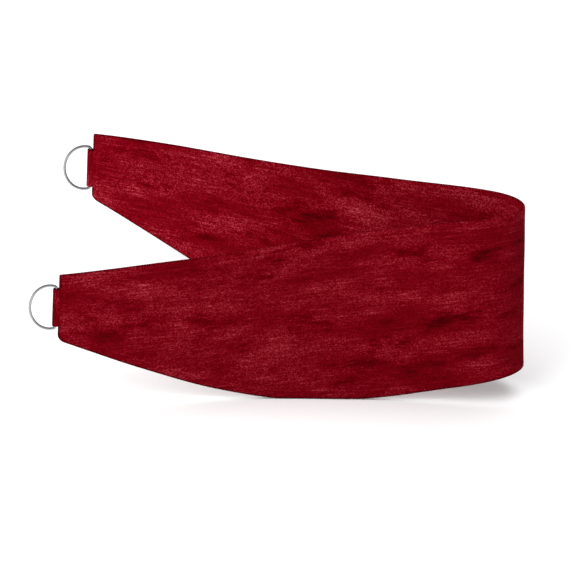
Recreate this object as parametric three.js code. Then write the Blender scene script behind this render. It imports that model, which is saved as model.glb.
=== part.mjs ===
// A shaped fabric curtain tieback, looped and standing on its lower edge.
// Two crescent panels are sewn face to face round the edge, and each end of the band
// carries a cloth tab that is folded round the straight bar of a wire D-ring.
// Millimetres and degrees, +Z up. The fold of the loop points along +X, the front leg
// lies on the -Y side and the back leg on the +Y side. The origin is on the surface,
// under the centre of the tieback.

import * as THREE from 'three';

// Band: the flat pattern, measured along it from the middle of the fold
const HALF_LENGTH = 325;
const PANEL_THICKNESS = 1.35;
const PANEL_GAP = 0.3;
const EDGE_ROUND = 0.6;
const LOWER_CORNER = 4;
const UPPER_CORNER = 0.6;
const END_SLANT = 1.3;
const END_SLANT_POWER = 12;

// Heights of the band's edges at the fold, at each sixth of a leg and at its end,
// from the top edge of the fold
const PATTERN = [
  { top: 0, foot: -119.5 },
  { top: -0.6, foot: -123.8 },
  { top: -2.8, foot: -127.6 },
  { top: -6.4, foot: -123.7 },
  { top: -9.3, foot: -109.0 },
  { top: -10.8, foot: -86.5 },
  { top: -13.0, foot: -61.4 },
];

// Plan of a leg: its heading away from the loop's centre plane, which is square at
// the fold, opens along the leg and closes again towards the end
const FOLD_HEADING = 90;
const LEG_HEADING = -1;
const LEG_OPENING = 67;
const LEG_CLOSING = 52.5;
const FOLD_LENGTH = 18.5;
const PLAN_STEP = 0.5;

// Rest: the ends of the loop are heavier than the fold, so the band stands pitched,
// on a stretch of each lower edge that is pressed flat
const REST_PITCH = 7;
const REST_TRIM = 1.5;

// D-ring: bent wire, a straight bar and a bow that is part of an ellipse
const WIRE_DIAMETER = 1.8;
const BOW_HALF_HEIGHT = 16;
const BOW_HALF_DEPTH = 13.4;
const BOW_CENTRE = 4;
const RING_BEND = 1.6;
const BEND_ARC = 6;
const BUTT_GAP = 0.3;

// Tab: a strip of cloth folded round the bar, with its plies at the band's end seam
const TAB_HEIGHT = 27.5;
const TAB_PLY = 1.1;
const TAB_REACH = 4;
const TAB_CLEARANCE = 0.3;
const TAB_WRAP = 120;

// The two ends: how far each tab starts below the top edge, and how far each ring has
// swung round its bar towards the inside of the loop
const ENDS = [
  { name: 'front', side: -1, tabDrop: 9.5, ringSwing: 6 },
  { name: 'back', side: 1, tabDrop: 11.5, ringSwing: 22 },
];

// Fineness of the solids
const FOLD_STEP = 1.6;
const LEG_STEP = 8;
const STEP_GROWTH = 1.12;
const CORNER_ANGLES = [0, 30, 55, 90];
const ROWS = 6;
const RING_STEPS = 84;
const WIRE_QUARTER_POINTS = 4;
const TAB_ARC_POINTS = 10;

const CLOTH_COLOUR = '#7d0c19';
const METAL_COLOUR = '#c3c5c8';

const radians = THREE.MathUtils.degToRad;

// Band plan

function headingAt(along) {
  const share = along / HALF_LENGTH;
  const leg = LEG_HEADING + LEG_OPENING * share - LEG_CLOSING * share * share;
  return radians(leg + (FOLD_HEADING - LEG_HEADING) * Math.exp(-along / FOLD_LENGTH));
}

// One leg of the middle line in plan, walked in short steps a little past its end
function walkLeg() {
  const points = [{ x: 0, y: 0 }];
  const count = Math.ceil((HALF_LENGTH + 2 * END_SLANT) / PLAN_STEP);
  for (let i = 0; i < count; i += 1) {
    const heading = headingAt((i + 0.5) * PLAN_STEP);
    const last = points[i];
    points.push({
      x: last.x - PLAN_STEP * Math.cos(heading),
      y: last.y + PLAN_STEP * Math.sin(heading),
    });
  }
  return points;
}

const LEG = walkLeg();

// The point of the middle line at a distance along the band, which is negative on the
// front leg, and the direction out of the loop there
function planAt(along) {
  const side = along < 0 ? -1 : 1;
  const distance = Math.abs(along);
  const index = Math.min(Math.floor(distance / PLAN_STEP), LEG.length - 2);
  const share = distance / PLAN_STEP - index;
  const heading = headingAt(distance);
  return {
    x: THREE.MathUtils.lerp(LEG[index].x, LEG[index + 1].x, share),
    y: side * THREE.MathUtils.lerp(LEG[index].y, LEG[index + 1].y, share),
    outX: Math.sin(heading),
    outY: side * Math.cos(heading),
  };
}

// Band pattern

// A smooth curve through one column of the pattern's rows, mirrored at the fold
function patternAt(key, distance) {
  const last = PATTERN.length - 1;
  const value = (row) => {
    if (row < 0) return PATTERN[-row][key];
    if (row > last) return 2 * PATTERN[last][key] - PATTERN[2 * last - row][key];
    return PATTERN[row][key];
  };
  const place = (distance / HALF_LENGTH) * last;
  const row = Math.min(Math.floor(place), last - 1);
  const t = place - row;
  const [a, b, c, d] = [value(row - 1), value(row), value(row + 1), value(row + 2)];
  const bend = 2 * a - 5 * b + 4 * c - d;
  const twist = 3 * b - a - 3 * c + d;
  return b + 0.5 * t * (c - a + t * (bend + t * twist));
}

// The height of the surface that the band stands on, before the band is pitched
function restHeightAt(x) {
  return (REST_LEVEL - x * Math.sin(radians(REST_PITCH))) / Math.cos(radians(REST_PITCH));
}

function lowestPitched() {
  let lowest = Infinity;
  for (let distance = 0; distance <= HALF_LENGTH; distance += PLAN_STEP) {
    const { x } = planAt(distance);
    const pitch = radians(REST_PITCH);
    const z = patternAt('foot', distance) * Math.cos(pitch) + x * Math.sin(pitch);
    lowest = Math.min(lowest, z);
  }
  return lowest;
}

const REST_LEVEL = lowestPitched() + REST_TRIM;

// The top and foot of the band at a distance from the fold, with its end's corners
function edgesAt(distance) {
  const intoLower = Math.max(0, distance - (HALF_LENGTH - LOWER_CORNER));
  const rise = LOWER_CORNER - Math.sqrt(LOWER_CORNER ** 2 - intoLower ** 2);
  const intoUpper = Math.max(0, distance - (HALF_LENGTH - UPPER_CORNER));
  return {
    top: patternAt('top', distance) - intoUpper,
    foot: patternAt('foot', distance) + rise,
  };
}

// Distances along the band of the panel's columns: close together round the fold and
// at the ends' rounded corners
function stations() {
  const leg = [0];
  const corner = CORNER_ANGLES.map(
    (angle) => HALF_LENGTH - LOWER_CORNER * (1 - Math.sin(radians(angle))),
  );
  let step = FOLD_STEP;
  while (leg[leg.length - 1] + 1.5 * step < corner[0]) {
    leg.push(leg[leg.length - 1] + step);
    step = Math.min(step * STEP_GROWTH, LEG_STEP);
  }
  const half = [...leg, ...corner];
  return [...half.slice(1).reverse().map((distance) => -distance), ...half];
}

const STATIONS = stations();
const COLUMNS = STATIONS.length - 1;

// How far up the band a row is, from 0 at the foot to 1 at the top
function rowShare(row, height) {
  const round = EDGE_ROUND / height;
  if (row === 0 || row === ROWS) return row / ROWS;
  return round + ((row - 1) / (ROWS - 2)) * (1 - 2 * round);
}

// A panel is a thin box with a grid of columns and rows, bent round the plan. Its
// offsets are the distances of its two faces from the band's middle. The face that
// shows is drawn in towards the seam along every edge.
function panelGeometry(inOffset, outOffset, faceThatShows) {
  const geometry = new THREE.BoxGeometry(2, 1, 1, COLUMNS, ROWS, 1);
  const position = geometry.attributes.position;
  for (let i = 0; i < position.count; i += 1) {
    const column = Math.round(((position.getX(i) + 1) / 2) * COLUMNS);
    const row = Math.round((position.getY(i) + 0.5) * ROWS);
    const side = position.getZ(i) > 0 ? 'out' : 'in';
    const onEdge = column === 0 || column === COLUMNS || row === 0 || row === ROWS;
    const drawnIn = onEdge && side === faceThatShows ? EDGE_ROUND : 0;
    const offset = side === 'out' ? outOffset - drawnIn : inOffset + drawnIn;

    const station = STATIONS[column];
    const distance = Math.abs(station);
    const { top, foot } = edgesAt(distance);
    const share = rowShare(row, top - foot);
    const slant = END_SLANT * (1 - share) * (distance / HALF_LENGTH) ** END_SLANT_POWER;
    const plan = planAt(station + Math.sign(station) * slant);
    const x = plan.x + offset * plan.outX;
    const y = plan.y + offset * plan.outY;
    const restFoot = Math.max(foot, restHeightAt(x));
    position.setXYZ(i, x, y, THREE.MathUtils.lerp(restFoot, top, share));
  }
  geometry.computeVertexNormals();
  return geometry;
}

// D-ring

// The wire's middle line: half the bar, a bend, the bow, a bend and the other half of
// the bar, whose ends meet inside the tab
function ringPath() {
  const bowStart = Math.acos(-BOW_CENTRE / BOW_HALF_DEPTH) - radians(BEND_ARC);
  const barHalf = BOW_HALF_HEIGHT * Math.sqrt(1 - (BOW_CENTRE / BOW_HALF_DEPTH) ** 2);
  const startX = BOW_CENTRE + BOW_HALF_DEPTH * Math.cos(bowStart);
  const startY = BOW_HALF_HEIGHT * Math.sin(bowStart);
  const outline = new THREE.Path();
  outline.moveTo(0, BUTT_GAP / 2);
  outline.lineTo(0, barHalf - RING_BEND);
  outline.quadraticCurveTo(0, barHalf, startX, startY);
  outline.absellipse(
    BOW_CENTRE, 0, BOW_HALF_DEPTH, BOW_HALF_HEIGHT, bowStart, -bowStart, true,
  );
  outline.quadraticCurveTo(0, -barHalf, 0, RING_BEND - barHalf);
  outline.lineTo(0, -BUTT_GAP / 2);
  const points = outline.getSpacedPoints(RING_STEPS);
  return new THREE.CatmullRomCurve3(points.map(({ x, y }) => new THREE.Vector3(x, 0, y)));
}

function ringGeometry() {
  const wire = new THREE.Shape();
  wire.absarc(0, 0, WIRE_DIAMETER / 2, 0, 2 * Math.PI, false);
  return new THREE.ExtrudeGeometry(wire, {
    steps: RING_STEPS,
    curveSegments: WIRE_QUARTER_POINTS,
    extrudePath: ringPath(),
    bevelEnabled: false,
  });
}

// Tab

const TAB_INSIDE = WIRE_DIAMETER / 2 + TAB_CLEARANCE;
const TAB_OUTSIDE = TAB_INSIDE + TAB_PLY;
const BAR_OUT = TAB_REACH - TAB_OUTSIDE;

// The tab's section across the bar: two plies that start at the seam and a wrap that
// joins them round the outside of the bar
function tabGeometry() {
  const wrap = radians(TAB_WRAP);
  const rootHalf = PANEL_GAP / 2 + PANEL_THICKNESS;
  const section = new THREE.Shape();
  section.moveTo(TAB_CLEARANCE, -rootHalf);
  section.absarc(BAR_OUT, 0, TAB_OUTSIDE, -wrap, wrap, false);
  section.lineTo(TAB_CLEARANCE, rootHalf);
  section.lineTo(TAB_CLEARANCE, rootHalf - TAB_PLY);
  section.absarc(BAR_OUT, 0, TAB_INSIDE, wrap, -wrap, true);
  section.lineTo(TAB_CLEARANCE, TAB_PLY - rootHalf);
  section.closePath();
  const geometry = new THREE.ExtrudeGeometry(section, {
    depth: TAB_HEIGHT,
    curveSegments: TAB_ARC_POINTS,
    bevelEnabled: false,
  });
  return geometry.translate(0, 0, -TAB_HEIGHT / 2);
}

// Assembly

function clothMaterial() {
  return new THREE.MeshStandardMaterial({ color: CLOTH_COLOUR, roughness: 0.95, metalness: 0 });
}

function metalMaterial() {
  return new THREE.MeshStandardMaterial({ color: METAL_COLOUR, roughness: 0.2, metalness: 1 });
}

function namedMesh(name, geometry, material) {
  const mesh = new THREE.Mesh(geometry, material);
  mesh.name = name;
  return mesh;
}

// One end's tab and ring, in a group whose X runs out of the band's end and whose Z
// runs up its slanted end seam
function endFittings({ name, side, tabDrop, ringSwing }) {
  const { top, foot } = edgesAt(HALF_LENGTH);
  const tabMiddle = top - tabDrop - TAB_HEIGHT / 2;
  const seam = HALF_LENGTH + (END_SLANT * (top - tabMiddle)) / (top - foot);
  const plan = planAt(side * seam);
  const group = new THREE.Group();
  const tilt = -Math.atan2(END_SLANT, top - foot);
  const heading = Math.atan2(side * Math.sin(headingAt(seam)), -Math.cos(headingAt(seam)));
  group.position.set(plan.x, plan.y, tabMiddle);
  group.rotation.set(0, tilt, heading, 'ZYX');

  const ring = namedMesh(`d_ring_${name}`, ringGeometry(), metalMaterial());
  ring.position.x = BAR_OUT;
  ring.rotation.z = side * radians(ringSwing);
  group.add(namedMesh(`ring_tab_${name}`, tabGeometry(), clothMaterial()), ring);
  return group;
}

const tieback = new THREE.Group();
const nearSeam = PANEL_GAP / 2;
const farFromSeam = PANEL_GAP / 2 + PANEL_THICKNESS;
const outer = panelGeometry(nearSeam, farFromSeam, 'out');
const inner = panelGeometry(-farFromSeam, -nearSeam, 'in');
tieback.add(namedMesh('panel_outer', outer, clothMaterial()));
tieback.add(namedMesh('panel_inner', inner, clothMaterial()));
tieback.add(...ENDS.map(endFittings));

// The band is pitched about Y, its ends down, and set on the surface over the origin
tieback.rotation.y = -radians(REST_PITCH);
tieback.updateMatrixWorld(true);
const bounds = new THREE.Box3().setFromObject(tieback, true);
const centre = bounds.getCenter(new THREE.Vector3());
tieback.position.set(-centre.x, -centre.y, -REST_LEVEL);

export default tieback;
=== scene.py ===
# %% [markdown]
# # A shaped curtain tieback
#
# The object is a crescent band of crimson pile cloth, two panels sewn face to face and
# turned, with a cloth tab and a wire D-ring at each end. It stands looped on its lower
# edge, as it would on a shop's table.
#
# The lesson goes the way a maker does: the flat cut and the plan that the band bends
# round, then the cloth and the wire, then the panels, the rings and their tabs. The
# solids of the part are packed already, and every piece is made in their frame, in
# metres, so that nothing has to be fitted afterwards.

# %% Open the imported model
import math

import bpy
import numpy as np
from mathutils import Matrix, Vector


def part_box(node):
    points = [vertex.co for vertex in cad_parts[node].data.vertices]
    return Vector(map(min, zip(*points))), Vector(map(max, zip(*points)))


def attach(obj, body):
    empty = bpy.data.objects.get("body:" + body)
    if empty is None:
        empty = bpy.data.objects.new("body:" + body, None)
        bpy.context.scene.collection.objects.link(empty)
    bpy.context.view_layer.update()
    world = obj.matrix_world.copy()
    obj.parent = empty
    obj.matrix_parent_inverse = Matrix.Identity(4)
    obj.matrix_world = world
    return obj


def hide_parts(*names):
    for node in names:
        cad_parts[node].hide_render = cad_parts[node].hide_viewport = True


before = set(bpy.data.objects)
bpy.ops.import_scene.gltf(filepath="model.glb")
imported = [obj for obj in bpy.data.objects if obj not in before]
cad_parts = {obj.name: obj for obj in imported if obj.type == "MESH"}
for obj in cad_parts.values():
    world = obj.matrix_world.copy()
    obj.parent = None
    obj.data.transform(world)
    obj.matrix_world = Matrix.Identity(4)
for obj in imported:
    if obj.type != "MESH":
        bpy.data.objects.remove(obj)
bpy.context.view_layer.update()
print("solids:", ", ".join(sorted(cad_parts)))

# %% [markdown]
# ## The flat cut
#
# A maker draws half the band on paper: its top and bottom edges are given at the fold,
# at each sixth of a leg and at the end, and a smooth curve runs through them. Heights
# are measured from the top edge at the fold, and distances along the band from the fold.
#
# The outline could also be a Bezier curve drawn by eye. Heights at even steps are easier
# to measure on a real band and to change, so the curve between them is worked out. The
# end seam leans out at its foot, and a high power keeps that lean close to the end.

# %% The band's pattern
MM = 0.001
HALF_LENGTH = 325 * MM
LOWER_CORNER = 4 * MM
UPPER_CORNER = 0.6 * MM
END_SLANT = 1.3 * MM
END_SLANT_POWER = 12

PATTERN = [
    {"top": 0 * MM, "foot": -119.5 * MM},
    {"top": -0.6 * MM, "foot": -123.8 * MM},
    {"top": -2.8 * MM, "foot": -127.6 * MM},
    {"top": -6.4 * MM, "foot": -123.7 * MM},
    {"top": -9.3 * MM, "foot": -109.0 * MM},
    {"top": -10.8 * MM, "foot": -86.5 * MM},
    {"top": -13.0 * MM, "foot": -61.4 * MM},
]


def pattern_at(edge, distance):
    """The height of an edge at distances from the fold, mirrored at the fold."""
    last = len(PATTERN) - 1
    column = [row[edge] for row in PATTERN]
    past_end = 2 * column[last] - column[last - 1]
    heights = np.array([column[1], *column, past_end])
    steps = np.asarray(distance) / HALF_LENGTH * last
    row = np.clip(np.floor(steps).astype(int), 0, last - 1)
    t = steps - row
    a, b, c, d = (heights[row + i] for i in range(4))
    bend = 2 * a - 5 * b + 4 * c - d
    twist = 3 * b - a - 3 * c + d
    return b + 0.5 * t * (c - a + t * (bend + t * twist))


def edges_at(distance):
    """The top and foot of the band, with the rounded corners of its ends."""
    into_lower = np.clip(distance - (HALF_LENGTH - LOWER_CORNER), 0, LOWER_CORNER)
    rise = LOWER_CORNER - np.sqrt(LOWER_CORNER**2 - into_lower**2)
    into_upper = np.clip(distance - (HALF_LENGTH - UPPER_CORNER), 0, None)
    top = pattern_at("top", distance) - into_upper
    return top, pattern_at("foot", distance) + rise


print("depth at the fold:", float(np.ptp(edges_at(0.0))), "m")

# %% [markdown]
# ## The plan
#
# Seen from above, the band turns sharply at the fold, opens along each leg and closes
# again towards the ends. A path drawn by hand would show every wobble, because stiff
# cloth bends evenly. So the heading of the cloth is one formula, and short steps along
# it give the plan, just as a path is walked by compass. Its length is then exact, which
# a flat cut needs. Headings are in degrees, 90 across the fold and 0 straight back.

# %% Walk the plan of the loop
FOLD_HEADING = 90
LEG_HEADING = -1
LEG_OPENING = 67
LEG_CLOSING = 52.5
FOLD_LENGTH = 18.5 * MM
PLAN_STEP = 0.5 * MM
STEP_SLACK = 1e-6


def heading_at(distance):
    """Which way the cloth runs at distances from the fold, in radians."""
    share = np.asarray(distance) / HALF_LENGTH
    leg = LEG_HEADING + LEG_OPENING * share - LEG_CLOSING * share**2
    turn = (FOLD_HEADING - LEG_HEADING) * np.exp(-np.asarray(distance) / FOLD_LENGTH)
    return np.radians(leg + turn)


def walk_leg():
    """The back leg's middle line from the fold to just past its end."""
    count = math.ceil((HALF_LENGTH + 2 * END_SLANT) / PLAN_STEP - STEP_SLACK)
    heading = heading_at((np.arange(count) + 0.5) * PLAN_STEP)
    x = np.append(0, -np.cumsum(np.cos(heading)) * PLAN_STEP)
    y = np.append(0, np.cumsum(np.sin(heading)) * PLAN_STEP)
    return x, y


LEG_X, LEG_Y = walk_leg()


def plan_at(along):
    """Points of the middle line and the directions out of the loop there."""
    distance, side = np.abs(along), np.where(np.asarray(along) < 0, -1, 1)
    steps = np.arange(len(LEG_X)) * PLAN_STEP
    heading = heading_at(distance)
    x = np.interp(distance, steps, LEG_X)
    y = side * np.interp(distance, steps, LEG_Y)
    return x, y, np.sin(heading), side * np.cos(heading)


apart = 2 * float(plan_at(HALF_LENGTH)[1])
print("legs stand", round(apart, 4), "m apart at their ends")

# %% [markdown]
# ## How it stands
#
# The ends outweigh the fold, so the looped band pitches a little, until a stretch of
# each lower edge lies flat. A trial fall could find that place each time. Here the pitch
# is one value, which the solids share, and it sets every piece below.
#
# The trim is how deep the lowest stretch is pressed flat. The panel face is how far a
# panel's face stands from the band's middle line, and the edge round is how far above
# the foot it does so.

# %% Pitch the band and set it on the surface
REST_PITCH = math.radians(7)
REST_TRIM = 1.5 * MM
PANEL_FACE = 1.5 * MM
EDGE_ROUND = 0.6 * MM


def lowest_pitched():
    """The lowest height of the pitched band, before it is set on the surface."""
    distance = np.arange(0, HALF_LENGTH + PLAN_STEP, PLAN_STEP)
    x = plan_at(distance)[0]
    foot = pattern_at("foot", distance)
    return float((foot * math.cos(REST_PITCH) + x * math.sin(REST_PITCH)).min())


REST_LEVEL = lowest_pitched() + REST_TRIM

low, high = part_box("panel_outer")
fold_reach = PANEL_FACE * math.cos(REST_PITCH)
fold_reach -= (PATTERN[0]["foot"] + EDGE_ROUND) * math.sin(REST_PITCH)
FOLD_TOP = Vector((high.x - fold_reach, (low.y + high.y) / 2, -REST_LEVEL))
STANDING = Matrix.Translation(FOLD_TOP) @ Matrix.Rotation(-REST_PITCH, 4, "Y")
print("the fold's top stands at", tuple(round(v, 4) for v in FOLD_TOP))


def rest_height_at(x):
    """The height of the surface in the band's own frame, before it is pitched."""
    return (REST_LEVEL - x * math.sin(REST_PITCH)) / math.cos(REST_PITCH)


# %% [markdown]
# ## Where the fittings sit
#
# Each tab is sewn into the end seam, which leans a little. Its points could be worked
# out one by one in the room. It is simpler to draw the fittings upright, once, and to
# carry them to each end by a frame at the middle of the tab, with X out of the band and
# Z up the seam. The ring has swung a little round its bar inside that frame.

# %% The frame of each end's fittings
TAB_HEIGHT = 27.5 * MM
ENDS = [
    {"name": "front", "side": -1, "tab_drop": 9.5 * MM, "ring_swing": 6},
    {"name": "back", "side": 1, "tab_drop": 11.5 * MM, "ring_swing": 22},
]


def tab_middle(end):
    """The height of a tab's middle, in the band's own frame."""
    return float(edges_at(HALF_LENGTH)[0]) - end["tab_drop"] - TAB_HEIGHT / 2


def end_frame(end):
    """The matrix that carries fittings drawn upright to the middle of a tab."""
    top, foot = (float(v) for v in edges_at(HALF_LENGTH))
    middle = tab_middle(end)
    seam = HALF_LENGTH + END_SLANT * (top - middle) / (top - foot)
    x, y, _, _ = plan_at(end["side"] * seam)
    heading = float(heading_at(seam))
    turn = math.atan2(end["side"] * math.sin(heading), -math.cos(heading))
    lean = -math.atan2(END_SLANT, top - foot)
    local = Matrix.Translation((float(x), float(y), middle))
    local @= Matrix.Rotation(turn, 4, "Z") @ Matrix.Rotation(lean, 4, "Y")
    return STANDING @ local


for end in ENDS:
    print(end["name"], "tab at", [round(v, 4) for v in end_frame(end).translation])


# %% [markdown]
# ## The camera
#
# The photograph looks down on the loop from the front leg's side. A very long lens far
# away keeps the sizes of the near and far leg alike. A camera without any perspective
# would look much the same, but a long lens is what a photographer has. The camera
# leans with the band's pitch, so that the fold stands upright in the picture.

# %% Put things in the scene
def add_object(name, data):
    """A new object in the scene that holds a mesh, a curve, a lamp or a camera."""
    thing = bpy.data.objects.new(name, data)
    bpy.context.scene.collection.objects.link(thing)
    return thing


# %% Place the camera at the photograph's angle
VIEW_HEIGHT = math.radians(26.14)
VIEW_TURN = math.radians(5.53)
VIEW_ROLL = math.radians(0.16)
VIEW_DISTANCE = 16
VIEW_WIDTH = 0.3899
VIEW_RIGHT = -0.1559
VIEW_UP = -0.0559
VIEW_DEPTH = 0.049
SENSOR_WIDTH = 36
SIGHT_LIMIT = 100

right = Vector((math.cos(VIEW_TURN), math.sin(VIEW_TURN), 0))
into = Vector((-math.sin(VIEW_TURN), math.cos(VIEW_TURN), 0)) * math.cos(VIEW_HEIGHT)
into.z = -math.sin(VIEW_HEIGHT)
tilt = Matrix.Rotation(-VIEW_ROLL, 3, into)
right = tilt @ right
up = right.cross(into)

camera_data = bpy.data.cameras.new("photo_camera")
camera_data.sensor_width = SENSOR_WIDTH
camera_data.lens = camera_data.sensor_width * VIEW_DISTANCE / VIEW_WIDTH
camera_data.clip_end = SIGHT_LIMIT
camera = add_object("photo_camera", camera_data)
eye = right * VIEW_RIGHT + up * VIEW_UP + into * (VIEW_DEPTH - VIEW_DISTANCE)
axes = Matrix((right, up, -into)).transposed().to_4x4()
camera.matrix_world = STANDING @ Matrix.Translation(eye) @ axes
bpy.context.scene.camera = camera
print("lens:", round(camera_data.lens), "mm")

# %% [markdown]
# ## Trees of nodes
#
# Each finish, and each shape that follows a path, is a tree of nodes. A tree can be
# drawn by hand in Blender's editors, but one that a script builds comes out the same
# every time. Two calls carry it: one adds a node with its settings and inputs, the
# other joins an output to an input, which leaves the trees readable as lists of steps.

# %% Add and join nodes
def add_node(tree, kind, settings=None, **inputs):
    """A new node, with its settings and the values or links of its named inputs."""
    node = tree.nodes.new(kind)
    for name, value in (settings or {}).items():
        setattr(node, name, value)
    for name, value in inputs.items():
        connect(tree, value, node.inputs[name.replace("_", " ")])
    return node


def connect(tree, value, socket):
    """Joins an output to a socket, or sets the socket's own value."""
    if isinstance(value, bpy.types.NodeSocket):
        tree.links.new(value, socket)
    else:
        socket.default_value = value


def operate(tree, kind, operation, values):
    """A node that works out one result from its inputs, filled in their order."""
    node = add_node(tree, kind, {"operation": operation})
    for socket, value in zip(node.inputs, values):
        connect(tree, value, socket)
    return node.outputs[0]


def math_node(tree, operation, *values):
    """A number worked out from others."""
    return operate(tree, "ShaderNodeMath", operation, values)


def vector_node(tree, operation, *values):
    """A vector worked out from others."""
    return operate(tree, "ShaderNodeVectorMath", operation, values)


def scale_vector(tree, vector, factor):
    """A vector or colour times one factor."""
    node = add_node(tree, "ShaderNodeVectorMath", {"operation": "SCALE"}, Scale=factor)
    connect(tree, vector, node.inputs[0])
    return node.outputs[0]


# %% [markdown]
# ## The pile cloth
#
# The cloth is a crushed pile in deep crimson. Its yarns run along the band, so every
# mark on it is drawn out that way: wide patches where the pile leans one way or the
# other, dark bruises with feathered edges where it lies pressed flat, streaks where
# yarns are thick, and a fine grain of single tufts.
#
# A picture of cloth could be laid on it, but it would repeat along the band. Instead
# each kind of mark is one noise, with its own length and height on the cloth, and it
# reads the flat cut's coordinates, so the marks bend with the band.

# %% The cloth's tones and marks
CLOTH_TONES = [
    {"at": 0.10, "colour": (0.034, 0.0000, 0.0008, 1)},
    {"at": 0.34, "colour": (0.092, 0.0000, 0.0018, 1)},
    {"at": 0.50, "colour": (0.141, 0.0002, 0.0038, 1)},
    {"at": 0.66, "colour": (0.202, 0.0060, 0.0135, 1)},
    {"at": 0.95, "colour": (0.390, 0.0480, 0.0660, 1)},
]
PATCH = {"length": 55 * MM, "height": 20 * MM, "detail": 2, "rough": 0.55, "seed": 3.1}
BRUISE = {"length": 38 * MM, "height": 15 * MM, "detail": 5, "rough": 0.62, "seed": 66.3}
YARN = {"length": 18 * MM, "height": 0.95 * MM, "detail": 1, "rough": 0.55, "seed": 7.7}
NUB = {"length": 1.0 * MM, "height": 0.75 * MM, "detail": 1, "rough": 0.55, "seed": 12.4}
CRUSH = {"length": 30 * MM, "height": 18 * MM, "detail": 2, "rough": 0.55, "seed": 21.3}


# %% Noise, tones and easing
def stretched_noise(tree, coordinates, size):
    """A noise whose marks have the given length and height on the cloth."""
    scale = (1 / size["length"], 1 / size["height"], 1)
    scaled = vector_node(tree, "MULTIPLY", coordinates, scale)
    shifted = vector_node(tree, "ADD", scaled, (size["seed"],) * 3)
    noise = add_node(
        tree,
        "ShaderNodeTexNoise",
        Vector=shifted,
        Scale=1.0,
        Detail=size["detail"],
        Roughness=size["rough"],
    )
    return noise.outputs["Fac"]


def colour_ramp(tree, value, tones):
    """The colour of a value between the given tones."""
    ramp = add_node(tree, "ShaderNodeValToRGB", Fac=value)
    stops = ramp.color_ramp.elements
    while len(stops) < len(tones):
        stops.new(0.5)
    for stop, tone in zip(stops, tones):
        stop.position = tone["at"]
        stop.color = tone["colour"]
    return ramp.outputs["Color"]


def map_range(tree, value, source, target, settings=None):
    """Maps one range of a value to another, and holds it at the ends."""
    return add_node(
        tree,
        "ShaderNodeMapRange",
        settings,
        Value=value,
        From_Min=source[0],
        From_Max=source[1],
        To_Min=target[0],
        To_Max=target[1],
    ).outputs["Result"]


def smooth_range(tree, value, source, target):
    """The same, easing in and out at the ends."""
    easing = {"interpolation_type": "SMOOTHSTEP"}
    return map_range(tree, value, source, target, easing)


# %% [markdown]
# ### How light the pile looks
#
# The layers of marks add up to one tone, which the ramp of crimsons turns into a colour.
# They could each be mixed in as a colour of its own, but a tone keeps them all in the
# same family of reds, as one dye does. A crush layer first shifts the yarns up and down
# a little, so that no streak runs dead straight. Bruised places lose some of their
# grain, and a painted highlight runs along the ridge that the seam allowance raises.

# %% Add the marks up to a tone
CRUSH_SHIFT = 1.3 * MM
PATCH_WEIGHT = 0.52
YARN_WEIGHT = 0.34
NUB_WEIGHT = 0.92
TONE_LIFT = 0.02
FEATHER = 0.42
BRUISED = (0.53, 0.74)
BRUISE_DEPTH = 0.36
BRUISE_GRAIN_LOSS = 0.4
LAID_PILE = (0.34, 0.58)
LAID_GRAIN = 0.56
SLUBS = (0.60, 0.78)
SLUB_LIGHT = 0.13
ALLOWANCE = 5.8 * MM
RIDGE_WIDTH = 0.8 * MM
RIDGE_LIGHT = 0.09


def cloth_marks(tree):
    """Each layer of marks on the cloth, as a value between 0 and 1."""
    cut = add_node(tree, "ShaderNodeUVMap", {"uv_map": "cut"}).outputs["UV"]
    crush = stretched_noise(tree, cut, CRUSH)
    lift = math_node(tree, "MULTIPLY_ADD", crush, 2 * CRUSH_SHIFT, -CRUSH_SHIFT)
    shift = add_node(tree, "ShaderNodeCombineXYZ", Y=lift).outputs[0]
    crushed = vector_node(tree, "ADD", cut, shift)
    return {
        "patch": stretched_noise(tree, cut, PATCH),
        "bruise": stretched_noise(tree, crushed, BRUISE),
        "yarn": stretched_noise(tree, crushed, YARN),
        "nub": stretched_noise(tree, crushed, NUB),
    }


def pressed_pile(tree, marks):
    """How far the pile is bruised flat, with edges that follow the yarns."""
    feather = math_node(tree, "MULTIPLY_ADD", marks["yarn"], FEATHER, -0.5 * FEATHER)
    feathered = math_node(tree, "ADD", marks["bruise"], feather)
    return smooth_range(tree, feathered, BRUISED, (0, 1))


def tuft_grain(tree, marks, pressed, painted_light):
    """The grain of single tufts, weaker where the pile is laid or pressed."""
    standing = smooth_range(tree, marks["patch"], LAID_PILE, (LAID_GRAIN, 1))
    standing = math_node(tree, "MULTIPLY_ADD", pressed, -BRUISE_GRAIN_LOSS, standing)
    # The grain's contrast grows with the factor by which the copy is painted lighter.
    weight = NUB_WEIGHT * painted_light
    grain = math_node(tree, "MULTIPLY_ADD", marks["nub"], weight, -0.5 * weight)
    return math_node(tree, "MULTIPLY", grain, standing)


def ridge_highlight(tree, inset):
    """A painted highlight along the ridge that the seam allowance raises."""
    away = math_node(tree, "SUBTRACT", inset, ALLOWANCE)
    away = math_node(tree, "ABSOLUTE", away)
    return smooth_range(tree, away, (0, RIDGE_WIDTH), (RIDGE_LIGHT, 0))


def cloth_tone(tree, marks, inset, painted_light):
    """All marks added up around the middle of the ramp."""
    pressed = pressed_pile(tree, marks)
    tone = tuft_grain(tree, marks, pressed, painted_light)
    tone = math_node(tree, "MULTIPLY_ADD", marks["yarn"], YARN_WEIGHT, tone)
    tone = math_node(tree, "MULTIPLY_ADD", marks["patch"], PATCH_WEIGHT, tone)
    tone = math_node(tree, "MULTIPLY_ADD", pressed, -BRUISE_DEPTH, tone)
    slub = smooth_range(tree, marks["yarn"], SLUBS, (0, SLUB_LIGHT))
    tone = math_node(tree, "ADD", tone, slub)
    # A painted highlight along the seam allowance's ridge.
    tone = math_node(tree, "ADD", tone, ridge_highlight(tree, inset))
    middle = 0.5 - 0.5 * (YARN_WEIGHT + PATCH_WEIGHT) + TONE_LIFT
    return math_node(tree, "ADD", tone, middle)
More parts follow.
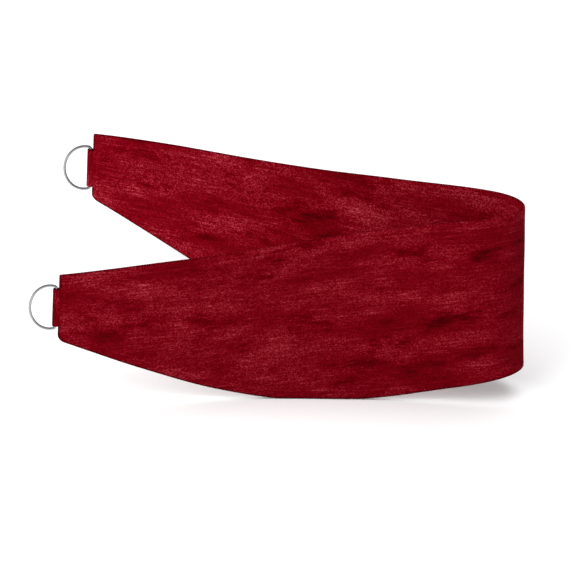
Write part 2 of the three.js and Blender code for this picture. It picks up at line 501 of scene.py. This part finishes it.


# %% [markdown]
# ### The cloth's surface
#
# A pile swallows light: it is rough, hardly shines and has a faint red sheen. Hairs
# could be grown on it, but it would take a great many, and at this size they look much
# like a rough surface with a fine bump. Towards an edge the colour is darkened, as
# painted shade where the cloth rolls away from the light, by the distance inside the
# edge that each panel carries. The painted light is how much lighter a copy of the cloth
# is painted: the panel inside the loop gets a lighter copy, standing in for the light
# that falls on it there.

# %% Build the pile cloth
# The painted edge shade: where it starts and ends inside the edge, and how dark it gets.
EDGE_SHADE = (-0.5 * MM, 1.7 * MM)
EDGE_DARK = 0.3
YARN_RELIEF = 1.2
RELIEF = 0.2 * MM
RELIEF_STRENGTH = 0.4
SHINY_PATCH = (0.3, 0.6)
PILE_ROUGHNESS = (0.75, 0.95)
PILE_SPECULAR = 0.012
PILE_SHEEN = 0.04
SHEEN_ROUGHNESS = 0.5
SHEEN_TINT = (1, 0.03, 0.07, 1)


def pile_cloth(name, painted_light):
    """The pile cloth. Its second value is a factor by which this copy's colour is painted
    lighter, standing in for light.
    """
    material = bpy.data.materials.new(name)
    material.use_nodes = True
    tree = material.node_tree
    shader = tree.nodes["Principled BSDF"]
    marks = cloth_marks(tree)
    inset = add_node(tree, "ShaderNodeAttribute", {"attribute_name": "inset"})
    inset = inset.outputs["Fac"]

    colour = colour_ramp(tree, cloth_tone(tree, marks, inset, painted_light), CLOTH_TONES)
    # Painted shade darkens the colour towards the edges, and the whole copy is painted
    # lighter by its factor.
    shade = smooth_range(tree, inset, EDGE_SHADE, (EDGE_DARK * painted_light, painted_light))
    tree.links.new(scale_vector(tree, colour, shade), shader.inputs["Base Color"])

    relief = math_node(tree, "MULTIPLY_ADD", marks["yarn"], YARN_RELIEF, marks["nub"])
    bump = add_node(
        tree,
        "ShaderNodeBump",
        Strength=RELIEF_STRENGTH,
        Distance=RELIEF,
        Height=relief,
    )
    tree.links.new(bump.outputs["Normal"], shader.inputs["Normal"])
    roughness = smooth_range(tree, marks["patch"], SHINY_PATCH, PILE_ROUGHNESS)
    tree.links.new(roughness, shader.inputs["Roughness"])
    shader.inputs["Specular IOR Level"].default_value = PILE_SPECULAR
    shader.inputs["Sheen Weight"].default_value = PILE_SHEEN
    shader.inputs["Sheen Roughness"].default_value = SHEEN_ROUGHNESS
    shader.inputs["Sheen Tint"].default_value = SHEEN_TINT
    return material


pile_out = pile_cloth("crimson_pile_out", 1.0)
# This copy is painted 1.2 times lighter, standing in for the light on the inner panel and
# the tabs.
pile_painted_lighter = pile_cloth("crimson_pile_painted_lighter", 1.2)
print("pile cloth:", len(pile_out.node_tree.nodes), "nodes")

# %% [markdown]
# ## The plated wire
#
# The rings are bent steel wire with a nickel plate, bright but satin from handling. One
# grey would make them look like plastic. A fine haze breaks up both the roughness and
# the tone of the metal, so the wire catches the light unevenly, as worn plate does.

# %% Build the plated wire's finish
HAZE_SCALE = 900.0
HAZE_DETAIL = 3.0
HAZE = (0.3, 0.7)
PLATE_ROUGHNESS = (0.32, 0.46)
PLATE_TONES = [
    {"at": HAZE[0], "colour": (0.35, 0.35, 0.36, 1)},
    {"at": HAZE[1], "colour": (0.47, 0.47, 0.48, 1)},
]
PLATE_EDGE_TINT = (0.35, 0.35, 0.36, 1)


def plated_wire(name):
    """Nickel plate on steel wire, with an uneven haze."""
    material = bpy.data.materials.new(name)
    material.use_nodes = True
    tree = material.node_tree
    shader = tree.nodes["Principled BSDF"]
    haze = add_node(
        tree,
        "ShaderNodeTexNoise",
        Vector=add_node(tree, "ShaderNodeTexCoord").outputs["Object"],
        Scale=HAZE_SCALE,
        Detail=HAZE_DETAIL,
    ).outputs["Fac"]
    roughness = map_range(tree, haze, HAZE, PLATE_ROUGHNESS)
    tree.links.new(roughness, shader.inputs["Roughness"])
    tree.links.new(colour_ramp(tree, haze, PLATE_TONES), shader.inputs["Base Color"])
    shader.inputs["Metallic"].default_value = 1
    shader.inputs["Specular Tint"].default_value = PLATE_EDGE_TINT
    return material


nickel_plate = plated_wire("nickel_plate")
print("plated wire:", len(nickel_plate.node_tree.nodes), "nodes")

# %% [markdown]
# ## A sheet with two faces
#
# Cloth has a thickness, so each panel is a closed shell: a grid of points for its face,
# a grid for its back, and a rim of faces between the borders of the two. A Solidify
# modifier could add the back, but it gives one thickness all over, and here the cloth
# thins towards its seams. One function makes that shell from any pair of grids, for the
# panels and the tabs alike.

# %% Close two grids into a shell
def shell_faces(rows, columns):
    """The faces of a grid, of a second grid behind it, and of the rim between them."""
    count = rows * columns
    index = np.arange(count).reshape(rows, columns)
    around = [index[:-1, :-1], index[:-1, 1:], index[1:, 1:], index[1:, :-1]]
    quads = np.stack([part.ravel() for part in around], axis=1)
    border = np.concatenate(
        [index[0, :-1], index[:-1, -1], index[-1, :0:-1], index[:0:-1, 0]]
    )
    after = np.roll(border, -1)
    rim = np.stack([after, border, border + count, after + count], axis=1)
    return np.concatenate([quads, quads[:, ::-1] + count, rim])


def shell_mesh(name, face, back, flat_map, inset):
    """A closed mesh from two grids of points, with the flat cut as its UV map."""
    faces = shell_faces(*face.shape[:2])
    mesh = bpy.data.meshes.new(name)
    points = np.concatenate([face.reshape(-1, 3), back.reshape(-1, 3)])
    mesh.from_pydata(points.tolist(), [], faces.tolist())
    layer = mesh.uv_layers.new(name="cut")
    flat = np.concatenate([flat_map.reshape(-1, 2)] * 2)
    layer.data.foreach_set("uv", flat[faces.ravel()].ravel())
    # The distance that the finish reads for its painted shade and painted highlight.
    edge = mesh.attributes.new("inset", "FLOAT", "POINT")
    insets = np.concatenate([inset.ravel(), np.zeros(inset.size)])
    edge.data.foreach_set("value", insets.astype(np.float32))
    mesh.shade_smooth()
    mesh.validate()
    return mesh


# %% [markdown]
# ## The panels, cut flat
#
# Each panel is first laid out flat, X along the band, Z up and its face towards -Y, as
# it lies on the cutting table. It could be modelled bent at once, but then nothing would
# say that it is 650 mm of flat cloth. Rows and columns come closer together at the
# edges, where the face rolls over into the seam, and at the rounded lower corners.

# %% Rows and columns of a panel
ROLL = 1.1 * MM
ROLL_STEPS = 6
GRID_STEP = 2.4 * MM
TYPICAL_DEPTH = 120 * MM
CORNER_STEPS = 7
CORNER_SWEEP = 1.3  # radians


def rolled_steps(roll):
    """Distances in from an edge, close together where the cloth rolls over."""
    angles = np.linspace(0, math.pi / 2, ROLL_STEPS)
    return roll * (1 - np.cos(angles))


def column_places():
    """Distances along the band from the fold, negative on the front leg."""
    roll = HALF_LENGTH - rolled_steps(ROLL)
    sweep = np.sin(np.linspace(0, CORNER_SWEEP, CORNER_STEPS))
    corner = HALF_LENGTH - LOWER_CORNER * (1 - sweep)
    leg = np.linspace(0, corner[0], round(corner[0] / GRID_STEP))[:-1]
    half = np.unique(np.round(np.concatenate([leg, corner, roll]), 6))
    return np.concatenate([-half[:0:-1], half])


def row_shares(height):
    """Shares of the height for one column, evenly spaced between the rolled edges."""
    roll = rolled_steps(ROLL) / height
    count = round(TYPICAL_DEPTH / GRID_STEP)
    middle = np.linspace(roll[-1], 1 - roll[-1], count)[1:-1]
    return np.concatenate([roll, middle, 1 - roll[::-1]])


print("a panel's grid:", len(column_places()), "by", len(row_shares(TYPICAL_DEPTH)))

# %% [markdown]
# ### Uneven cloth
#
# No cloth is quite even. Two slow waves, the same in both panels, move the band in and
# out by a fraction of a millimetre and fade out at the ends, where the tabs hold it.
# Random noise could do that too, but sines stay smooth over the coarse grid. Where the
# lower edge meets the surface it rests on, the change from one to the other is eased.

# %% Waves and easing
WAVE = 0.22 * MM
WAVE_FADE = 20 * MM
WAVES = [
    {"share": 1.0, "run": (47, 0, 1.3), "swell": (11, 38, 0)},
    {"share": 0.5, "run": (118, 61, 0.4), "swell": (0, 87, -0.8)},
]
REST_EASE = 1.2 * MM


def phase(along, height, wave):
    """A wave's angle: its radians for each metre along and up, and at the start."""
    return along * wave[0] + height * wave[1] + wave[2]


def waviness(along, height):
    """The cloth's slight unevenness: waves along it that swell and ebb."""
    total = 0
    for wave in WAVES:
        run = np.sin(phase(along, height, wave["run"]))
        swell = np.cos(phase(along, height, wave["swell"]))
        total = total + wave["share"] * (run * swell)
    fade = np.clip((HALF_LENGTH - np.abs(along)) / WAVE_FADE, 0, 1)
    return WAVE * fade * total


def smooth_step(value, low_edge, high_edge):
    """0 below the low edge and 1 above the high one, eased between them."""
    t = np.clip((value - low_edge) / (high_edge - low_edge), 0, 1)
    return t * t * (3 - 2 * t)


def soft_max(a, b):
    """The larger of two heights, eased where they cross."""
    near = np.clip(1 - np.abs(a - b) / REST_EASE, 0, 1)
    return np.maximum(a, b) + REST_EASE / 4 * near**2


most = WAVE * sum(wave["share"] for wave in WAVES)
print("the cloth waves by up to", round(most / MM, 2), "mm")


# %% Lay a panel's grid on the flat cut
def panel_grid(side):
    """Each point's place along the band and height, and how far it is from each edge."""
    along = column_places()
    distance = np.abs(along)
    top, foot = edges_at(distance)
    share = np.stack([row_shares(h) for h in top - foot], axis=1)
    slant = END_SLANT * (1 - share) * (distance / HALF_LENGTH) ** END_SLANT_POWER
    slanted = along + np.sign(along) * slant
    x, _, out_x, _ = plan_at(slanted)
    rest_foot = soft_max(foot, rest_height_at(x + side * PANEL_FACE * out_x))
    height = rest_foot + (top - rest_foot) * share
    from_edges = {
        "top": top - height,
        "foot": height - rest_foot,
        "end": np.broadcast_to(HALF_LENGTH - distance, height.shape),
    }
    return slanted, height, from_edges


# %% [markdown]
# ### Face, back and edge
#
# Under the face the seam allowance is folded back, which lifts a soft step a few
# millimetres inside the edge. The step and the rolled edge could be painted on as a
# bump, but they catch the light best as real shape.
#
# The finish darkens towards the edges as painted shade, where the rolled cloth turns
# away from the light, by the distance inside them. That distance is shifted edge by
# edge: the painted shade reaches further in at the foot and the ends. Along the middle
# of the outer panel's top it is narrower, and at the ends where the tabs are sewn in it
# is lifted.

# %% A panel's thickness and wear
SEAM_HALF = 0.06 * MM
BACK_OFFSET = 0.15 * MM
ALLOWANCE_LIFT = 0.12 * MM
ALLOWANCE_SOFT = 1 * MM
# Shifts of the painted edge shade, edge by edge.
TOP_LIGHT = 0.6 * MM
TOP_LIGHT_LEAST = 0.1 * MM
TOP_LIGHT_FROM_END = 70 * MM
TOP_LIGHT_FADE = 60 * MM
FOOT_SHADE = 0.8 * MM
END_SHADE = 0.6 * MM
TAB_LIGHT = 3.0 * MM
TAB_LIGHT_SPAN = (12 * MM, 14 * MM)


def panel_depths(side, from_edges):
    """How far the face and the back stand from the band's middle line."""
    inset = np.minimum(from_edges["foot"], from_edges["top"])
    inset = np.maximum(np.minimum(inset, from_edges["end"]), 0)
    into_roll = 1 - np.clip(inset / ROLL, 0, 1)
    rolled = (PANEL_FACE - SEAM_HALF) * (1 - np.sqrt(1 - into_roll**2))
    clear = smooth_step(inset, ALLOWANCE - ALLOWANCE_SOFT, ALLOWANCE + ALLOWANCE_SOFT)
    inside = smooth_step(inset, 0, 2 * ROLL)
    lift = ALLOWANCE_LIFT * (1 - clear) * inside
    back = SEAM_HALF / 2 + (BACK_OFFSET - SEAM_HALF / 2) * inside
    return side * (PANEL_FACE - rolled + lift), side * back


def tab_seams(along, height):
    """1 where a tab is sewn into the end of the leg, and 0 away from it."""
    return sum(
        (np.sign(along) == end["side"])
        * (1 - smooth_step(np.abs(height - tab_middle(end)), *TAB_LIGHT_SPAN))
        for end in ENDS
    )


def shade_and_highlight_inset(side, along, height, from_edges):
    """The distance inside the edge that sets the painted edge shade and the ridge
    highlight.
    """
    top_light_to = TOP_LIGHT_FROM_END + TOP_LIGHT_FADE
    # Painted shade: along the middle of the outer panel's top the dark line is narrower.
    top_middle_share = smooth_step(from_edges["end"], TOP_LIGHT_FROM_END, top_light_to) * (side > 0)
    top_light = TOP_LIGHT_LEAST + (TOP_LIGHT - TOP_LIGHT_LEAST) * top_middle_share
    top_and_foot = np.minimum(
        from_edges["foot"] - FOOT_SHADE, from_edges["top"] + top_light
    )
    # Painted shade is lifted where a tab is sewn into the end of a leg.
    sewn = tab_seams(along, height)
    return np.minimum(top_and_foot, from_edges["end"] - END_SHADE + TAB_LIGHT * sewn)


print("a panel is", round((PANEL_FACE - BACK_OFFSET) / MM, 2), "mm thick")


# %% Lay out the blank of a panel
def panel_blank(name, side, shift):
    """One panel laid flat. Side is 1 for the outer panel and -1 for the inner one."""
    along, height, from_edges = panel_grid(side)
    wave = waviness(along, height)
    face_depth, back_depth = panel_depths(side, from_edges)
    grids = [
        np.stack([along, -(face_depth + wave), height], axis=-1),
        np.stack([along, -(back_depth + wave), height], axis=-1),
        np.stack([along + shift, height], axis=-1),
        shade_and_highlight_inset(side, along, height, from_edges),
    ]
    if side < 0:
        grids = [grid[:, ::-1] for grid in grids]
    return add_object(name, shell_mesh(name, *grids))


# %% [markdown]
# ## Bending the flat blank round the plan
#
# The plan is a path and the panel follows it, so Geometry Nodes bend the blank: each
# point looks up the place on the path that is as far along as the point is on the flat
# cut, and steps out from the path by its own thickness. A Curve modifier bends a mesh in
# much the same way, but it can't also pitch and place it. The same tree serves both
# panels, and the pattern on the cloth stays where the flat cut has it.

# %% Draw the plan as a path
def line_object(name, points):
    """A path of straight steps through points."""
    curve = bpy.data.curves.new(name, "CURVE")
    curve.dimensions = "3D"
    spline = curve.splines.new("POLY")
    spline.points.add(len(points) - 1)
    rows = np.concatenate([np.asarray(points, float), np.ones((len(points), 1))], axis=1)
    spline.points.foreach_set("co", rows.astype(np.float32).ravel())
    return add_object(name, curve)


front_leg = np.stack([LEG_X, -LEG_Y, 0 * LEG_X], axis=1)[::-1]
back_leg = np.stack([LEG_X, LEG_Y, 0 * LEG_X], axis=1)[1:]
plan_path = line_object("plan_path", np.concatenate([front_leg, back_leg]))
PLAN_HALF = PLAN_STEP * (len(LEG_X) - 1)
print("plan path:", round(2 * PLAN_HALF, 4), "m")


# %% Start, end and run a tree
def shape_tree(name, inputs):
    """A Geometry Nodes tree with its mesh input and the named inputs for its sizes."""
    tree = bpy.data.node_groups.new(name, "GeometryNodeTree")
    for direction in ("INPUT", "OUTPUT"):
        tree.interface.new_socket(
            "Geometry", in_out=direction, socket_type="NodeSocketGeometry"
        )
    for label, kind in inputs:
        tree.interface.new_socket(label, in_out="INPUT", socket_type=kind)
    return tree, add_node(tree, "NodeGroupInput").outputs


def end_tree(tree, geometry, finish):
    """The tree's last steps: real meshes, then the piece's finish."""
    real = add_node(tree, "GeometryNodeRealizeInstances", Geometry=geometry)
    painted = add_node(
        tree,
        "GeometryNodeSetMaterial",
        Geometry=real.outputs["Geometry"],
        Material=finish,
    )
    add_node(tree, "NodeGroupOutput", Geometry=painted.outputs["Geometry"])


def grow(base, tree, name, values):
    """Runs a tree on an object and returns the result as a plain mesh object."""
    modifier = base.modifiers.new(tree.name, "NODES")
    modifier.node_group = tree
    for item in tree.interface.items_tree:
        if item.in_out == "INPUT" and item.name in values:
            modifier[item.identifier] = values[item.name]
    graph = bpy.context.evaluated_depsgraph_get()
    mesh = bpy.data.meshes.new_from_object(base.evaluated_get(graph))
    base.modifiers.remove(modifier)
    mesh.name = name
    piece = add_object(name, mesh)
    bpy.data.objects.remove(base)
    return piece


# %% The tree that bends a blank
def bending_tree():
    """The tree that bends a flat blank round the plan and sets it down."""
    tree, given = shape_tree(
        "bend_round_plan",
        [
            ("Plan", "NodeSocketObject"),
            ("Plan half", "NodeSocketFloat"),
            ("Pitch", "NodeSocketFloat"),
            ("Place", "NodeSocketVector"),
            ("Finish", "NodeSocketMaterial"),
        ],
    )
    position = add_node(tree, "GeometryNodeInputPosition").outputs[0]
    flat = add_node(tree, "ShaderNodeSeparateXYZ", Vector=position).outputs
    plan = add_node(tree, "GeometryNodeObjectInfo", Object=given["Plan"])
    on_plan = add_node(
        tree,
        "GeometryNodeSampleCurve",
        {"mode": "LENGTH", "use_all_curves": True},
        Curves=plan.outputs["Geometry"],
        Length=math_node(tree, "ADD", flat["X"], given["Plan half"]),
    ).outputs
    inwards = vector_node(tree, "CROSS_PRODUCT", (0, 0, 1), on_plan["Tangent"])
    inwards = vector_node(tree, "NORMALIZE", inwards)
    stepped = scale_vector(tree, inwards, flat["Y"])
    raised = add_node(tree, "ShaderNodeCombineXYZ", Z=flat["Z"]).outputs[0]
    bent = vector_node(tree, "ADD", on_plan["Position"], stepped)
    bent = vector_node(tree, "ADD", bent, raised)
    pitched = add_node(
        tree,
        "ShaderNodeVectorRotate",
        {"rotation_type": "Y_AXIS"},
        Vector=bent,
        Angle=given["Pitch"],
    ).outputs[0]
    moved = add_node(
        tree,
        "GeometryNodeSetPosition",
        Geometry=given["Geometry"],
        Position=vector_node(tree, "ADD", pitched, given["Place"]),
    )
    end_tree(tree, moved.outputs["Geometry"], given["Finish"])
    return tree


bend_round_plan = bending_tree()
print(bend_round_plan.name, "has", len(bend_round_plan.nodes), "nodes")

# %% [markdown]
# ## The two panels
#
# The outer panel's face looks out of the loop and the inner one's looks in. One closed
# shell for the whole band would be less work, but two panels meet in a real seam all
# round the edge. Their cut coordinates start at different places, metres apart on the
# bolt, because no two panels are cut from the same stretch of cloth.

# %% Cut and bend both panels
PANELS = [
    {"name": "outer_panel", "side": 1, "shift": 7.79, "finish": pile_out},
    {"name": "inner_panel", "side": -1, "shift": 2.44, "finish": pile_painted_lighter},
]

for panel in PANELS:
    blank = panel_blank(panel["name"] + "_blank", panel["side"], panel["shift"])
    bend = {
        "Plan": plan_path,
        "Plan half": PLAN_HALF,
        "Pitch": -REST_PITCH,
        "Place": FOLD_TOP,
        "Finish": panel["finish"],
    }
    bent = grow(blank, bend_round_plan, panel["name"], bend)
    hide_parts("panel_" + panel["name"].split("_")[0])
    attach(bent, "root")
    print(panel["name"], len(bent.data.polygons), "faces")

bpy.data.objects.remove(plan_path)

# %% [markdown]
# ## The rings
#
# Wire is bent round a former: a straight bar, a tight bend at each end of it, and a bow
# that is part of an ellipse. A squashed torus would have no straight bar to turn on. So
# the ring is drawn as a path, and Geometry Nodes run a round profile along it. The
# wire's two ends meet in the middle of the bar, inside the tab.

# %% Draw a ring's path
WIRE = 1.8 * MM
BOW_HALF_HEIGHT = 16 * MM
BOW_HALF_DEPTH = 13.4 * MM
BOW_CENTRE = 4 * MM
BOW_STEPS = 90
RING_BEND = 1.6 * MM
BEND_ARC = math.radians(6)
BEND_STEPS = 12
BUTT_GAP = 0.3 * MM


def ring_points():
    """Half the bar, a bend, the bow, a bend and half the bar, in the ring's plane."""
    start = math.acos(-BOW_CENTRE / BOW_HALF_DEPTH) - BEND_ARC
    bar_half = BOW_HALF_HEIGHT * math.sqrt(1 - (BOW_CENTRE / BOW_HALF_DEPTH) ** 2)
    angles = np.linspace(start, -start, BOW_STEPS)
    bow_x = BOW_CENTRE + BOW_HALF_DEPTH * np.cos(angles)
    bow = np.stack([bow_x, BOW_HALF_HEIGHT * np.sin(angles)], axis=1)
    t = np.linspace(0, 1, BEND_STEPS)[:, None]
    begin, corner = np.array([[0, bar_half - RING_BEND]]), np.array([[0, bar_half]])
    bend = (1 - t) ** 2 * begin + 2 * t * (1 - t) * corner + t**2 * bow[:1]
    upper = np.concatenate([[[0, BUTT_GAP / 2]], bend])
    lower = upper[::-1] * [1, -1]
    flat = np.concatenate([upper[:-1], bow, lower[1:]])
    return np.stack([flat[:, 0], 0 * flat[:, 0], flat[:, 1]], axis=1)


def placed(points, frame_matrix):
    """A grid or a list of points, carried by a matrix."""
    matrix = np.array(frame_matrix)
    moved = points.reshape(-1, 3) @ matrix[:3, :3].T + matrix[:3, 3]
    return moved.reshape(points.shape)


wire_length = float(np.linalg.norm(np.diff(ring_points(), axis=0), axis=1).sum())
print("wire in a ring:", round(wire_length, 4), "m")


# %% The tree that runs wire along a path
def ring_tree():
    """The tree that runs a round profile along a path."""
    tree, given = shape_tree(
        "wire_on_path",
        [
            ("Wire diameter", "NodeSocketFloat"),
            ("Step", "NodeSocketFloat"),
            ("Sides", "NodeSocketInt"),
            ("Finish", "NodeSocketMaterial"),
        ],
    )
    path = add_node(
        tree,
        "GeometryNodeResampleCurve",
        {"mode": "LENGTH"},
        Curve=given["Geometry"],
        Length=given["Step"],
    )
    profile = add_node(
        tree,
        "GeometryNodeCurvePrimitiveCircle",
        Resolution=given["Sides"],
        Radius=math_node(tree, "MULTIPLY", given["Wire diameter"], 0.5),
    )
    wire = add_node(
        tree,
        "GeometryNodeCurveToMesh",
        Curve=path.outputs["Curve"],
        Profile_Curve=profile.outputs["Curve"],
        Fill_Caps=True,
    )
    end_tree(tree, wire.outputs["Mesh"], given["Finish"])
    return tree


wire_on_path = ring_tree()
print(wire_on_path.name, "has", len(wire_on_path.nodes), "nodes")

# %% [markdown]
# ## The tabs
#
# A tab is a short strip of the same cloth, folded round the bar with both ends in the
# seam. A rounded box would look much the same from afar, but the bar has to pass
# through the fold. So the section is a pair of lines, the strip's outside and its
# inside, and both draw together at the strip's two folded sides. The outside laps the
# end seam a little, which hides the root, and shade is painted along the crest of the
# fold, where the strip turns away from the light.

# %% The strip's section
TAB_CLEARANCE = 0.3 * MM
TAB_PLY = 1.1 * MM
TAB_REACH = 4 * MM
TAB_INSIDE = WIRE / 2 + TAB_CLEARANCE
TAB_OUTSIDE = TAB_INSIDE + TAB_PLY
BAR_OUT = TAB_REACH - TAB_OUTSIDE
TAB_WRAP = math.radians(120)
WRAP_STEPS = 33
PLY_STEPS = 5
OUTSIDE_ROOT = (-0.8 * MM, -1.46 * MM)
INSIDE_ROOT = (0.05 * MM, -0.3 * MM)


def tab_lines():
    """The outside and inside of the strip's section, from seam to seam."""
    angles = np.linspace(-TAB_WRAP, TAB_WRAP, WRAP_STEPS)
    steps = np.linspace(0, 1, PLY_STEPS)[:-1, None]
    lines = []
    for radius, root in ((TAB_OUTSIDE, OUTSIDE_ROOT), (TAB_INSIDE, INSIDE_ROOT)):
        arc_x = BAR_OUT + radius * np.cos(angles)
        arc = np.stack([arc_x, radius * np.sin(angles)], axis=1)
        start = np.array([root])
        ply = start + (arc[:1] - start) * steps
        lines.append(np.concatenate([ply, arc, (ply * [1, -1])[::-1]]))
    return lines


def places_across():
    """How far each point of the outside lies along the flat strip."""
    steps = np.linalg.norm(np.diff(tab_lines()[0], axis=0), axis=1)
    return np.append(0, np.cumsum(steps))


# %% Fold a tab round its bar
TAB_ROLL = 0.8 * MM
TAB_PINCH = 0.42
TAB_ROWS = 26
TAB_CUT = 6
CREST_SHADE = -0.2 * MM
CREST_RISE = 0.42
SIDE_RISE = 3


def tab_rows():
    """Heights up the strip, close together where its sides fold in."""
    roll = rolled_steps(TAB_ROLL)
    middle = np.linspace(TAB_ROLL, TAB_HEIGHT - TAB_ROLL, TAB_ROWS)[1:-1]
    return np.concatenate([roll, middle, TAB_HEIGHT - roll[::-1]])


def tab_grids(rows, inset):
    """The strip's outside and inside, upright round its bar."""
    outside, inside = tab_lines()
    into_roll = 1 - np.clip(inset / TAB_ROLL, 0, 1)
    pinch = TAB_PINCH * (1 - np.sqrt(1 - into_roll**2))[:, None, None]
    middle = (outside + inside) / 2
    heights = np.repeat((rows - TAB_HEIGHT / 2)[:, None], len(outside), axis=1)
    grids = []
    for line in (outside, inside):
        flat = line + (middle - line) * pinch
        grids.append(np.concatenate([flat, heights[..., None]], axis=-1))
    return grids


def tab_piece(end, frame_matrix):
    """One end's tab, cut from its own place on the bolt."""
    rows = tab_rows()
    inset = np.minimum(rows, TAB_HEIGHT - rows)
    across = places_across()
    flat_across, flat_up = np.meshgrid(across, rows + (TAB_CUT + end["side"]))
    # Painted shade along the crest of the fold, and towards the strip's folded sides.
    from_crest = np.abs(across - across[-1] / 2)
    painted_crest_shade = CREST_SHADE + from_crest * CREST_RISE
    shell = [placed(grid, frame_matrix) for grid in tab_grids(rows, inset)]
    shell.append(np.stack([flat_up, flat_across], axis=-1))
    shell.append(np.minimum(inset[:, None] * SIDE_RISE, painted_crest_shade))
    name = f"tab_{end['name']}"
    mesh = shell_mesh(name, *shell)
    # The tabs take the copy of the cloth that is painted lighter.
    mesh.materials.append(pile_painted_lighter)
    return add_object(name, mesh)


# %% [markdown]
# ## Both ends' fittings
#
# Each end has one ring and one tab, in the frame that was set up for it. The back ones
# could be a mirror image of the front ones, but the tabs were sewn at slightly different
# heights and the rings swing differently, so each end is made from its own values.

# %% Make the fittings of both ends
WIRE_STEP = 0.45 * MM
WIRE_SIDES = 24

for end in ENDS:
    here = end_frame(end)
    swing = Matrix.Rotation(end["side"] * math.radians(end["ring_swing"]), 4, "Z")
    ring_frame = here @ Matrix.Translation((BAR_OUT, 0, 0)) @ swing
    ring_path = line_object(f"ring_path_{end['name']}", placed(ring_points(), ring_frame))
    bent_wire = {
        "Wire diameter": WIRE,
        "Step": WIRE_STEP,
        "Sides": WIRE_SIDES,
        "Finish": nickel_plate,
    }
    ring = grow(ring_path, wire_on_path, f"ring_{end['name']}", bent_wire)
    ring.data.shade_smooth()
    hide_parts(f"d_ring_{end['name']}")
    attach(ring, "root")

    tab = tab_piece(end, here)
    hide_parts(f"ring_tab_{end['name']}")
    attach(tab, "root")
    print(tab.name, len(tab.data.polygons), "faces;", ring.name, len(ring.data.polygons))

# %% [markdown]
# ## The floor
#
# A plain pale surface, so wide that its edge never shows. A curved backdrop is usual in
# a studio, but this camera looks down and sees only what the band stands on.

# %% Lay the floor
FLOOR_REACH = 30
FLOOR_TONE = (0.9, 0.9, 0.9, 1)
FLOOR_ROUGHNESS = 0.9
FLOOR_SPECULAR = 0.1

floor_mesh = bpy.data.meshes.new("floor")
square = ((-1, -1), (1, -1), (1, 1), (-1, 1))
corners = [(x * FLOOR_REACH, y * FLOOR_REACH, 0) for x, y in square]
floor_mesh.from_pydata(corners, [], [(0, 1, 2, 3)])
floor = add_object("floor", floor_mesh)
pale = bpy.data.materials.new("pale_floor")
pale.use_nodes = True
pale_shader = pale.node_tree.nodes["Principled BSDF"]
pale_shader.inputs["Base Color"].default_value = FLOOR_TONE
pale_shader.inputs["Roughness"].default_value = FLOOR_ROUGHNESS
pale_shader.inputs["Specular IOR Level"].default_value = FLOOR_SPECULAR
floor_mesh.materials.append(pale)
print("floor:", 2 * FLOOR_REACH, "m wide")

# %% [markdown]
# ## The light
#
# Two large soft lamps and a pale room, as in a packshot. The key stands in front and to
# the left, so the front leg is lit evenly and the fold turns away into shade. The one
# overhead is larger and softer, and lights the inside of the loop. Small hard lamps
# would draw the pile's grain more sharply, but their shadows would cut across the floor.
# The lamps are kept out of reflections, so no patch of lamp shows in the wire.

# %% Hang the lights
LIGHTS = [
    {"name": "key", "at": (-1.4, -2.4, 1.5), "size": 1.8, "power": 54},
    {"name": "overhead", "at": (-0.7, -0.1, 2.7), "size": 4.5, "power": 132},
]
AIM = Vector((0, 0, 0.06))
ROOM_TONE = (1, 1, 1, 1)
ROOM_LIGHT = 0.35

for light in LIGHTS:
    lamp = bpy.data.lights.new(light["name"], "AREA")
    lamp.size = light["size"]
    lamp.energy = light["power"]
    holder = add_object(light["name"], lamp)
    holder.location = light["at"]
    aim = AIM - Vector(light["at"])
    holder.rotation_euler = aim.to_track_quat("-Z", "Y").to_euler()
    holder.visible_glossy = False
    print(light["name"], "lamp", round(aim.length, 2), "m away")

world = bpy.data.worlds.new("studio")
world.use_nodes = True
world.node_tree.nodes["Background"].inputs["Color"].default_value = ROOM_TONE
world.node_tree.nodes["Background"].inputs["Strength"].default_value = ROOM_LIGHT
bpy.context.scene.world = world
bpy.context.scene.view_settings.view_transform = "Standard"
